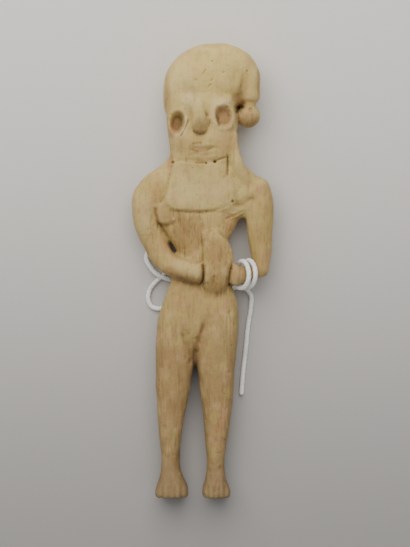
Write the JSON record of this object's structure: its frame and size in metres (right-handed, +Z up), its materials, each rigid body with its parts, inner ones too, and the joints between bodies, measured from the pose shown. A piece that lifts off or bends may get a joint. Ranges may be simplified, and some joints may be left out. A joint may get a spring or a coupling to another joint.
{
  "type": "terracotta male figure",
  "caption": "Hand-modelled fired clay figure of a turbaned man holding an infant, lying on its back, tied with a white cotton string.",
  "frame": {"origin": "under the middle of the figure, on the surface that it lies on", "axes": "+Y towards the turban, +X towards the figure's left arm, +Z up, out of its face and chest"},
  "size_m": [0.0408, 0.1304, 0.0181],
  "materials": {
    "terracotta": "unglazed fired clay, buff, matt, scratched, pitted and stained brown in its hollows",
    "cotton": "soft white cotton string, loosely twisted"
  },
  "bodies": {
    "root": {"terracotta_figure": "terracotta", "tie_string": "cotton"}
  },
  "joints": []
}
